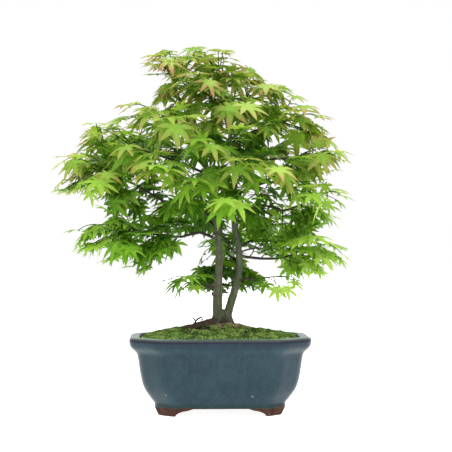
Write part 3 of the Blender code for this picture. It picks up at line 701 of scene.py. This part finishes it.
def leafKind(rng):
    # a disc whose edges are drawn out into pointed lobes
    lobes = [(radians(b + rng.uniform(-5, 5)), r * rng.uniform(0.9, 1.06), w)
             for b, r, w in leafLook["lobes"]]
    bm = bmesh.new()
    ring = ops.create_circle(bm, cap_ends=True, cap_tris=True, radius=0.2, segments=16)["verts"]
    hub = next(v for v in ring if v.co.length < 0.01)
    rim = sorted((v for v in ring if v is not hub), key=lambda v: atan2(v.co.y, v.co.x))
    bearings = [(a[0] + b[0]) / 2 for a, b in zip(lobes, lobes[1:])]
    bearings = [lobes[0][0] - 0.45] + bearings + [lobes[-1][0] + 0.45]
    rim[0].co = (0, -0.05, 0)
    for i, (bearing, reach) in enumerate(zip(bearings, leafLook["notches"])):
        rim[1 + 2 * i].co = (sin(bearing) * reach, cos(bearing) * reach, 0)
    marks = {hub: (0.0, 1.0)}
    for i, (bearing, reach, half) in enumerate(lobes):
        out = Vector((sin(bearing), cos(bearing), 0))
        side = Vector((out.y, -out.x, 0))
        trio = rim[1 + 2 * i:4 + 2 * i]
        trio[1].co = out * min(0.26, reach * 0.4)
        fold = half * 0.35
        marks[trio[1]] = (0.2, 1.0)
        for share, width in ((0.52, 1.0), (0.74, 0.66), (1.0, 0.0)):
            edges = [bm.edges.get((trio[0], trio[1])), bm.edges.get((trio[1], trio[2]))]
            grown = ops.extrude_edge_only(bm, edges=edges)["geom"]
            fresh = vertsIn(grown)
            trio = [next(v for v in fresh if bm.edges.get((v, old))) for old in trio]
            for vert, across in zip(trio, (-1, 0, 1)):
                lift = abs(across) * fold * width
                vert.co = out * reach * share + side * across * half * width + upward * lift
                marks[vert] = (share * reach, 1.0 - abs(across))
        ops.pointmerge(bm, verts=trio, merge_co=out * reach)
        marks[min(bm.verts, key=lambda v: (v.co - out * reach).length)] = (1.0, 0.5)
    bm.normal_update()
    if sum(face.normal.z for face in bm.faces) < 0:
        ops.reverse_faces(bm, faces=bm.faces)
    shade = np.array([marks.get(v, (0.25, 0.0)) for v in bm.verts])
    points, faces = shapeOf(bm)
    return points, faces, shade


def stalkKind():
    # a four-sided stalk one unit long, drawn along X
    bm = bmesh.new()
    tubeAlong(bm, [Vector((i / 4, 0, 0)) for i in range(5)], [1.0] * 5, 4)
    return shapeOf(bm)


def bladesOf(bm):
    # hub, upper side, direction and length of every blade in a packed shoot
    centres = [v for v in bm.verts if len(v.link_edges) >= 11]
    blades = []
    while centres:             # the two faces of a blade each have a centre
        first = centres.pop()
        other = min(centres, key=lambda v: (v.co - first.co).length)
        centres.remove(other)
        top, low = sorted((first, other), key=lambda v: -v.co.z)
        around = {e.other_vert(top) for e in top.link_edges}
        below = {e.other_vert(low) for e in low.link_edges}
        rim = around & below
        hub = (top.co + low.co) / 2
        feet = [v.co for v in (around | below) - rim - {top, low}]
        tip = max(rim, key=lambda v: (v.co - hub).length).co
        normal = (top.co - low.co).normalized()
        out = tip - hub
        out -= normal * out.dot(normal)
        root = sum(feet, Vector()) / len(feet)
        blades.append((hub, normal, out.normalized(), out.length, root))
    return blades


def stemOf(bm, blades):
    # the shoot's own stem from its foot to its end, as ring centres
    used = {v for v in bm.verts if len(v.link_edges) >= 11}
    used |= {e.other_vert(v) for v in used for e in v.link_edges}
    feet = {v for v in used for blade in blades if (v.co - blade[4]).length < 3.0}
    rest = [v.co.copy() for v in bm.verts if v not in used or v in feet]
    middle = sum((blade[0] for blade in blades), Vector()) / len(blades)
    start = max(rest, key=lambda co: (co - middle).length)
    rest = [co for co in rest if (co - start).length < 44]
    end = max(rest, key=lambda co: (co - start).length)
    along = (end - start).normalized()
    rest.sort(key=lambda co: (co - start).dot(along))
    groups = [rest[:4]]
    for co in rest[4:]:
        if (co - groups[-1][-1]).dot(along) > 0.7 and len(groups[-1]) >= 3:
            groups.append([])
        groups[-1].append(co)
    return [sum(group, Vector()) / len(group) for group in groups if len(group) >= 2]


leafRng = random.Random(leafLook["seed"])
kinds = [leafKind(leafRng) for _ in range(leafLook["kinds"])]
stalkPoints, stalkFaces = stalkKind()
crownMiddle = Vector((-16, 0, 235))
leafMiddles = []


def insideCrown(x, z, slack):
    heights, lefts, rights = zip(*crownLook["outline"])
    if not (heights[0] <= z <= heights[-1] and np.interp(z, heights, lefts) - slack <= x
            <= np.interp(z, heights, rights) + slack):
        return False
    return all(hypot((x - midX) / halfX, (z - midZ) / halfZ) > 1
               for midX, midZ, halfX, halfZ in crownLook["openings"])


def hidesStem(hub):
    # the stems stand free in front of the lower leaves
    left, right, top, back = crownLook["clearStems"]
    return hub.z < top and left < hub.x < right and hub.y < back


def newLeaf(root, aim, look, rng):
    # a leaf that hangs off a stalk along the aim, or None where it has no room
    hub = root + aim * rng.uniform(*look["reach"]) - upward * look["drop"]
    droop = radians(rng.uniform(*look["droop"]))
    lean = Matrix.Rotation(-droop, 3, aim.cross(upward).normalized())
    out = (lean @ aim).normalized()
    normal = out.cross(upward).normalized().cross(out).normalized()
    size = rng.uniform(*look["length"])
    if insideCrown(hub.x + out.x * size, hub.z + out.z * size, 3) and not hidesStem(hub):
        return hub, normal, out, size, root
    return None


def addBlade(parts, hub, normal, out, length, root, rng):
    points, faces, shade = kinds[rng.randrange(len(kinds))]
    curl = rng.uniform(*leafLook["curl"])
    spread = rng.uniform(0.0, 0.16)
    twist = rng.uniform(-0.16, 0.16)
    grown = points.copy()
    x, y, _ = points.T
    grown[:, 2] -= curl * np.hypot(x, y) ** 1.7 + spread * x ** 2
    grown[:, 2] += twist * x * y
    flat = out.cross(normal).normalized()
    basis = np.array([flat[:], out[:], normal[:]])
    placed = grown * length @ basis + np.array(hub[:])
    # paler outside and at the top, partly the real colour of sun leaves and partly painted light, darker
    # inside the crown as painted shade; paler low down, and young above the middle
    outer = min(1.0, hypot((hub.x - crownMiddle.x) / 150, hub.y / 110))
    tone = 0.5 * outer ** 1.3 - 0.05 + 0.5 * max(0.0, (hub.z - 290) / 110)
    tone += 0.1 * clamped((205 - hub.z) / 50) + rng.uniform(-0.16, 0.22)
    tones = np.full(len(points), clamped(tone))
    youth = clamped((hub.z - 205) / 70) * rng.uniform(0.4, 1.4)
    parts.append((placed, faces, 0, np.c_[tones, shade[:, 0] * youth, shade[:, 1]]))
    leafMiddles.append(hub + out * (length * 0.4))
    # the stalk leaves the stem, rises a little and bends over to the blade
    run = hub - root
    sideways = run.cross(upward).normalized() if run.cross(upward).length > 0.01 else flat
    lift = sideways.cross(run).normalized()
    t = stalkPoints[:, 0:1]
    radius = leafLook["stalkRadius"] * (1.25 - 0.5 * t)
    line = np.array(root[:]) + t * np.array(run[:])
    line = line + np.sin(t * pi) * run.length * 0.09 * np.array(lift[:])
    around = stalkPoints[:, 1:2] * np.array(sideways[:]) + stalkPoints[:, 2:3] * np.array(lift[:])
    parts.append((line + around * radius, stalkFaces, 1, np.zeros((len(stalkPoints), 3))))


def addStem(parts, line, radii, sides):
    bm = bmesh.new()
    tubeAlong(bm, line, radii, sides)
    points, faces = shapeOf(bm)
    parts.append((points, faces, 1, np.zeros((len(points), 3))))


def makeShoot(node, rng):
    bm = cadCopy(node)
    blades = bladesOf(bm)
    stem = stemOf(bm, blades)
    bm.free()
    parts = []
    for hub, normal, out, length, root in blades:
        size = length * rng.uniform(*leafLook["size"])
        if not insideCrown(hub.x, hub.z, 3):
            size *= leafLook["outsideShare"]
            hub = hub - upward * leafLook["outsideDrop"]
        elif not insideCrown(hub.x + out.x * size, hub.z + out.z * size, 6):
            size *= leafLook["tipShare"]
        if hidesStem(hub):
            size *= leafLook["hidingShare"]
        raised = Matrix.Rotation(radians(rng.uniform(*leafLook["raise"])), 3,
                                 out.cross(upward).normalized())
        if out.z < -0.3:
            out = raised @ out
            normal = raised @ normal
        addBlade(parts, hub, normal, out, size, root, rng)
    heading = (stem[-1] - stem[0]).normalized()
    side = heading.cross(upward).normalized()
    over = side.cross(heading)
    for _ in range(leafLook["extra"]):
        root = stem[0].lerp(stem[-1], rng.uniform(0.15, 1.0))
        around = rng.uniform(0, 2 * pi)
        away = side * cos(around) + over * sin(around) * 0.6
        turn = radians(rng.uniform(20, 75))
        aim = (heading * cos(turn) + away * sin(turn)).normalized()
        found = newLeaf(root, aim, leafLook, rng)
        if found:
            addBlade(parts, *found, rng)
    line = curveThrough([stem[0] - heading * 0.6] + stem[1:], 2)
    addStem(parts, line, [0.85 - 0.35 * i / (len(line) - 1) for i in range(len(line))], 6)
    name = node.replace("shoot", "leaves", 1)
    place(name, joinCopies(name, parts, "leafShade"), [leaf, stalk],
          [node])


def growTwig(parts, start, target, rng):
    # a thin twig from the wood to the target, with a pair of leaves half way and three at its end
    heading = (target - start).normalized()
    length = (target - start).length
    side = heading.cross(upward).normalized()
    over = side.cross(heading)
    bow = rng.uniform(-0.08, 0.12) * length
    line = [start.lerp(target, t) + upward * (bow * sin(t * pi)) for t in (0.0, 0.25, 0.5, 0.75, 1.0)]
    outward = Vector((target.x - crownMiddle.x, target.y, 0)).normalized()
    grown = []
    for share, push in ((0.5, 1), (0.75, -1), (1.0, 1), (1.0, -1), (1.0, 0)):
        root = line[round(share * 4)]
        away = side * push + over * rng.uniform(-0.7, 0.7)
        aim = (outward * 0.8 + heading * 0.5 + away * rng.uniform(0.4, 1.1)).normalized()
        found = newLeaf(root, aim, crownLook, rng)
        if found:
            grown.append(found)
    if len(grown) < 3:         # a twig with fewer leaves looks bare
        return
    for found in grown:
        addBlade(parts, *found, rng)
    addStem(parts, line, [0.8, 0.72, 0.62, 0.5, 0.4], 5)


def fillCrown():
    # thin twigs grow from the wood into every part of the crown that has few leaves
    rng = random.Random(crownLook["seed"])
    bm = cadCopy("tree_wood")
    tree = treeOf([v.co.copy() for v in bm.verts if v.co.z > 125])
    bm.free()
    cell = crownLook["cell"]
    shortest, longest = crownLook["twigLength"]
    counts = {}

    def note(point):
        for stepX, stepZ in product((-1, 0, 1), repeat=2):
            key = (round(point.x / cell) + stepX, round(point.z / cell) + stepZ)
            counts[key] = counts.get(key, 0) + (4 if stepX == stepZ == 0 else 1)

    for point in leafMiddles:
        note(point)
    parts = []
    for _ in range(crownLook["tries"]):
        z = rng.uniform(138, 400)
        x = rng.uniform(-186, 155)
        full = counts.get((round(x / cell), round(z / cell)), 0) >= crownLook["enough"]
        if full or not insideCrown(x, z, -3):
            continue
        near = tree.find(Vector((x, rng.uniform(-60, 50), z)))[0]
        target = Vector((x, near.y + rng.uniform(-22, 18), z))
        if z < 212 and -34 < x < 44:
            target.y = max(target.y, rng.uniform(14, 34))
        if not shortest < (target - near).length < longest:
            continue
        before = len(leafMiddles)
        growTwig(parts, near, target, rng)
        for point in leafMiddles[before:]:
            note(point)
    place("fillTwigs", joinCopies("fillTwigs", parts, "leafShade"), [leaf, stalk])


shootRng = random.Random(leafLook["seed"] + 1)
for nodeName in sorted(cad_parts):
    if nodeName.startswith("shoot_"):
        makeShoot(nodeName, shootRng)
fillCrown()
print("leaves ready")


# moss, bare earth and litter

mossLook = {
    "cell": 1.5,
    "half": (90, 65),          # the grid that the soil's outline is cut from
    "rim": 81.4,               # the moss is this high along the wall
    "crown": 95.0,             # and this high where the trunk goes through it
    "cushion": 13.0,           # width of one cushion
    "cushionRise": 3.4, "stars": 8000, "starHeight": (1.1, 2.8),
    # dark patches of bare earth: x, y, radius
    "bare": ((-24, -20, 11), (-14, -27, 6), (17, -20, 5), (-36, -30, 5), (38, -26, 6),
             (52, -18, 4), (28, -34, 4)),
    "seed": 5,
}


def insideShare(x, y):
    # 0 in the middle of the soil, 1 at the pot's inner wall
    return max(abs(x) / 87.0, abs(y) / 62.0, (abs(x) + abs(y)) / 121.8)


def groundAt(tree, x, y):
    # a ray dropped from above
    return tree.ray_cast(Vector((x, y, 200)), -upward)


def mound(x, y):
    # how high a cushion stands here, from its rim at less than 0 to its top
    wide = mossLook["cushion"]
    return 0.62 - noise.voronoi(Vector((x / wide, y / wide, 0.4)))[0][0]


def bareness(x, y):
    amount = 0.0
    for middleX, middleY, reach in mossLook["bare"]:
        gap = hypot(x - middleX, y - middleY) / reach
        gap += 0.5 * noise.noise(Vector((x / 5, y / 5, 3)))
        amount = max(amount, clamped(1.6 - 1.3 * gap))
    return amount


def makeMoss():
    cad = cadCopy("moss")
    cadTree = BVHTree.FromBMesh(cad)
    cad.free()
    bm = bmesh.new()
    halfX, halfY = mossLook["half"]
    ops.create_grid(bm, x_segments=2 * round(halfX / mossLook["cell"]),
                          y_segments=2 * round(halfY / mossLook["cell"]), size=1.0)
    ops.scale(bm, vec=(halfX, halfY, 1), verts=bm.verts)
    outside = [v for v in bm.verts if insideShare(v.co.x, v.co.y) > 1.0]
    ops.delete(bm, geom=outside, context="VERTS")
    for vert in bm.verts:
        hit = groundAt(cadTree, vert.co.x, vert.co.y)[0]
        if hit is None or hit.z < mossLook["rim"] - 0.9:
            nearTrunk = insideShare(vert.co.x, vert.co.y) < 0.6
            vert.co.z = mossLook["crown"] if nearTrunk else mossLook["rim"]
        else:
            vert.co.z = hit.z
    layer = bm.verts.layers.float_color.new("mossShade")
    for vert in bm.verts:
        x, y, _ = vert.co
        rise = mound(x, y)
        ripple = noise.noise(Vector((x / 3.0, y / 3.0, 1.7)))
        bald = bareness(x, y)
        calm = min(1.0, (1.02 - insideShare(x, y)) * 9)
        vert.co.z += (rise * mossLook["cushionRise"] * calm + ripple * 0.6) * (1 - 0.7 * bald)
        vert.co.z -= 1.2 * bald + (1 - calm) * 0.6
        # red: painted shade low between the cushions and painted highlight on their tops; green: bare
        # earth
        vert[layer] = (0.06 + 0.6 * rise + 0.25 * ripple, bald, 0.0, 1.0)
    skirt = [e for e in bm.edges if e.is_boundary]
    grown = ops.extrude_edge_only(bm, edges=skirt)["geom"]
    ops.translate(bm, vec=(0, 0, -5), verts=vertsIn(grown))
    ops.holes_fill(bm, edges=[e for e in bm.edges if e.is_boundary], sides=0)
    faceOut(bm)
    tree = BVHTree.FromBMesh(bm)
    place("mossCushions", bm, [mossGreen], ["moss"])
    return tree


def starKind():
    # one moss stem end: four pointed leaves that lean outwards
    bm = bmesh.new()
    for turn in range(4):
        lean = Matrix.Rotation(turn * pi / 2, 4, "Z") @ Matrix.Rotation(0.5, 4, "Y")
        ops.create_cone(bm, cap_ends=False, segments=3, radius1=0.34, radius2=0.0,
                              depth=1.0, matrix=lean @ Matrix.Translation((0, 0, 0.4)))
    return shapeOf(bm)


def makeStars(ground):
    rng = random.Random(mossLook["seed"])
    starPoints, starFaces = starKind()
    parts = []
    while len(parts) < mossLook["stars"]:
        x = rng.uniform(-89, 89)
        y = rng.uniform(-64, 64)
        if insideShare(x, y) > 0.985 or rng.random() < bareness(x, y) * 1.1:
            continue
        spot, normal, _, _ = groundAt(ground, x, y)
        if spot is None:
            continue
        tall = rng.uniform(*mossLook["starHeight"])
        lean = normal.lerp(Vector((rng.uniform(-1, 1), rng.uniform(-1, 1), 1)), 0.35)
        turn = lean.to_track_quat("Z", "Y").to_matrix() @ Matrix.Rotation(rng.uniform(0, 3), 3, "Z")
        placed = starPoints * tall @ np.array(turn.transposed()) + np.array(spot[:])
        # painted shade darkens the stems between the cushions, and a painted highlight lightens each
        # stem towards its tip
        tone = 0.22 + 0.8 * mound(x, y) + rng.uniform(-0.18, 0.28)
        lit = tone + 0.25 * starPoints[:, 2]
        parts.append((placed, starFaces, 0, np.c_[lit, 0 * lit, 0 * lit]))
    place("mossStems", joinCopies("mossStems", parts, "mossShade"), [mossGreen])


litterLook = {
    "straws": 64, "strawRadius": (0.22, 0.5), "strawLength": (6, 18), "crumbs": 160,
    # dead rootlets and twig ends: radius, route
    "rootlets": (
        (2.7, ((-3, -4, 102.5), (-14, -7, 99.6), (-25, -10, 97.2), (-38, -13, 93))),
        (1.8, ((-5, -10, 100), (-14, -15, 97.6), (-26, -18, 94.6), (-33, -20, 91))),
        (0.6, ((-70, -20, 84), (-65, -22, 90.5), (-59, -24, 93.4), (-54, -25, 92.0), (-50, -26, 86))),
        (1.1, ((-36, -12, 93), (-29, -11, 97), (-24.5, -10, 102.6), (-20, -10, 104.6),
               (-18.4, -10, 103.0), (-20.5, -10, 101.6))),
        (0.8, ((-26, -11, 100), (-28.5, -11, 103.4), (-31, -11, 104.6))),
        (0.9, ((-24, -8, 96), (-17, -9, 100.4), (-13.5, -9, 102.8))),
        (0.7, ((-44, -14, 91), (-40, -13, 95.2), (-33, -12, 96.6), (-27, -12, 94.5)))),
    "seed": 9,
}


def makeLitter(ground):
    rng = random.Random(litterLook["seed"])
    bm = bmesh.new()
    for _ in range(litterLook["straws"]):
        angle = rng.uniform(0, 2 * pi)
        away = rng.uniform(9, 24)
        x = 4 + cos(angle) * away * 1.25
        y = 1 + sin(angle) * away
        length = rng.uniform(*litterLook["strawLength"])
        heading = rng.uniform(0, 2 * pi)
        points = []
        for step in range(4):
            t = step / 3 - 0.5
            bent = heading + t * 0.5
            px = x + cos(bent) * length * t
            py = y + sin(bent) * length * t
            hit = groundAt(ground, px, py)[0]
            points.append(Vector((px, py, hit.z + 1.1 + rng.uniform(0, 1.6))))
        size = rng.uniform(*litterLook["strawRadius"])
        tubeAlong(bm, curveThrough(points, 2), [size] * 7, 5)
    faceOut(bm)
    place("strawLitter", bm, [straw])
    # crumbs of earth in the bare patches
    bm = bmesh.new()
    for _ in range(litterLook["crumbs"]):
        middleX, middleY, reach = rng.choice(mossLook["bare"])
        x = middleX + rng.gauss(0, 0.55) * reach
        y = middleY + rng.gauss(0, 0.55) * reach
        hit = groundAt(ground, x, y)[0]
        if hit is None:
            continue
        size = rng.uniform(0.6, 1.5)
        crumb = ops.create_icosphere(bm, subdivisions=1, radius=size)["verts"]
        for vert in crumb:
            vert.co *= rng.uniform(0.75, 1.2)
        ops.translate(bm, vec=(x, y, hit.z + size * 0.4), verts=crumb)
    place("earthCrumbs", bm, [inner["soil"]])


def makeTwigs():
    # the curled dead twig and rootlets that stick out of the moss
    bm = softened(cadCopy("fallen_twig"), 0.25, 4)
    for vert in bm.verts:
        vert.co += vert.normal * (0.15 + 0.25 * noise.noise(vert.co / 2.2))
    place("curledTwig", bm, [deadBark], ["fallen_twig"])
    bm = bmesh.new()
    for radius, route in litterLook["rootlets"]:
        line = curveThrough(route, 4)
        tubeAlong(bm, line, [radius * (1.1 - 0.5 * i / len(line)) for i in range(len(line))], 6)
    faceOut(bm)
    place("rootlets", bm, [deadBark])


ground = makeMoss()
makeStars(ground)
makeLitter(ground)
makeTwigs()
print("moss and litter ready")


# floor, light and camera

def makeStage():
    bm = bmesh.new()
    ops.create_grid(bm, x_segments=1, y_segments=1, size=6.0)
    floor = linked("floor", meshOf("floor", bm))
    # matt white studio paper, lit from below as well
    paper, _, _ = newMaterial("backdropPaper", {
        "Roughness": 0.9, "Base Color": (0.9, 0.9, 0.9, 1.0), "Specular IOR Level": 0.0,
        "Emission Color": (1.0, 1.0, 1.0, 1.0), "Emission Strength": 0.9})
    floor.data.materials.append(paper)
    world = bpy.data.worlds.new("studio")
    world.use_nodes = True
    back = world.node_tree.nodes["Background"]
    back.inputs["Color"].default_value = (1.0, 1.0, 1.0, 1.0)
    scene.world = world
    # place, size in metres and power in watts
    lights = {"topBox": ((-0.25, -0.35, 1.5), 1.3, 16.0), "frontBox": ((0.6, -1.6, 0.9), 1.0, 8.0)}
    aimAt = Vector((0, 0, 0.22))
    for name, (spot, size, power) in lights.items():
        lamp = bpy.data.lights.new(name, "AREA")
        lamp.size = size
        lamp.energy = power
        holder = linked(name, lamp)
        holder.location = spot
        holder.rotation_euler = (aimAt - Vector(spot)).to_track_quat("-Z", "Y").to_euler()
    scene.view_settings.view_transform = "Standard"
    scene.view_settings.look = "None"


def makeCamera():
    lens = bpy.data.cameras.new("camera")
    lens.lens = 108.1
    lens.clip_start = 0.05
    lens.clip_end = 30.0
    holder = linked("camera", lens)
    bearing = radians(2.0)                         # the camera stands a little to the left
    away = 1.5
    holder.location = potMiddle + Vector((-away * sin(bearing), -away * cos(bearing), 0.1894))
    holder.rotation_euler = (radians(90.595), 0, -radians(2.278))
    scene.camera = holder


makeStage()
makeCamera()

print("done")
